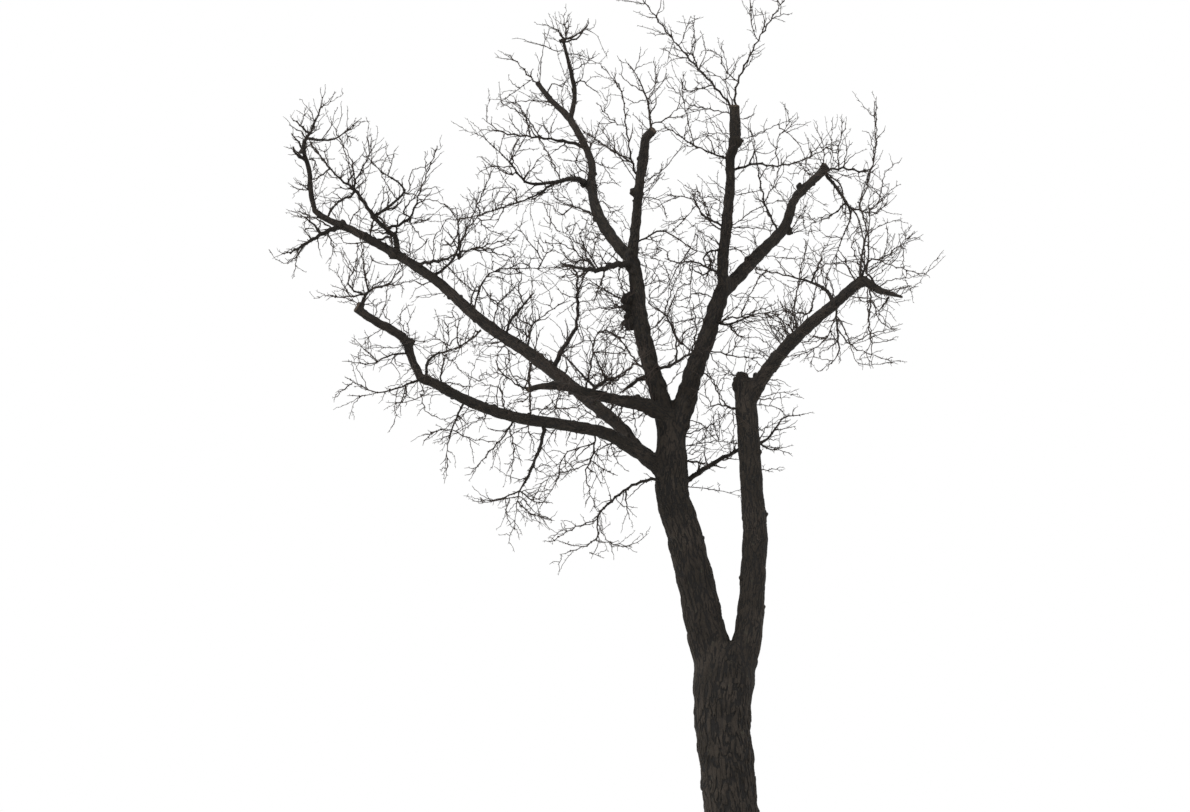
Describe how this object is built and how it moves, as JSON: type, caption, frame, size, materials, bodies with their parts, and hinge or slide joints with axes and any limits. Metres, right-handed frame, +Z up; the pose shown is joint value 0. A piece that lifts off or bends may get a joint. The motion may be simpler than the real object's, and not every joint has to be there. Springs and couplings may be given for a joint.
{
  "type": "bare winter tree",
  "caption": "Bare cut-back winter tree: a leaning trunk that forks low, long tapering boughs, knobbly limbs and open sprays of leafless twigs, fixed at the ground.",
  "frame": {"origin": "middle of the flat cut under the trunk, at ground level", "axes": "+Z up, +X to the viewer's right in the picture, -Y towards the viewer"},
  "size_m": [6.7466, 4.1909, 9.2008],
  "materials": {
    "bark": "rough furrowed bark, matt",
    "twigs": "thin smooth twig bark, matt"
  },
  "bodies": {
    "root": {"trunk": "bark", "left_stem": "bark", "right_stem": "bark", "right_bough": "bark", "right_centre_bough": "bark", "upright_bough": "bark", "slanting_bough": "bark", "left_centre_bough": "bark", "outer_limb": "bark", "outer_limb_top": "bark", "inner_limb": "bark", "long_bough": "bark", "long_bough_tip": "bark", "low_bough": "bark", "low_bough_end": "bark", "front_bough": "bark", "tip_twigs": "twigs", "edge_twigs": "twigs", "fork_twigs": "twigs", "left_mid_twigs": "twigs", "left_high_twigs": "twigs", "left_inner_twigs": "twigs", "middle_twigs": "twigs", "rising_twigs": "twigs", "inner_twigs": "twigs", "front_twigs": "twigs", "front_end_twigs": "twigs", "low_tip_twigs": "twigs", "low_left_twigs": "twigs", "low_under_twigs": "twigs", "low_middle_twigs": "twigs", "hanging_near_twigs": "twigs", "hanging_middle_twigs": "twigs", "hanging_left_twigs": "twigs", "hanging_end_twigs": "twigs", "hanging_close_twigs": "twigs", "right_low_twigs": "twigs", "centre_twigs": "twigs", "curled_twigs": "twigs", "upright_left_twigs": "twigs", "high_left_twigs": "twigs", "upright_right_twigs": "twigs", "top_left_twigs": "twigs", "top_twigs": "twigs", "slant_twigs": "twigs", "slant_end_twigs": "twigs", "slant_low_twigs": "twigs", "right_high_twigs": "twigs", "right_hanging_twigs": "twigs", "right_end_twigs": "twigs", "outer_end_twigs": "twigs", "outer_top_twigs": "twigs", "outer_side_twigs": "twigs", "side_twigs": "twigs", "inner_head_twigs": "twigs", "inner_side_twigs": "twigs", "short_side_twigs": "twigs"}
  },
  "joints": []
}
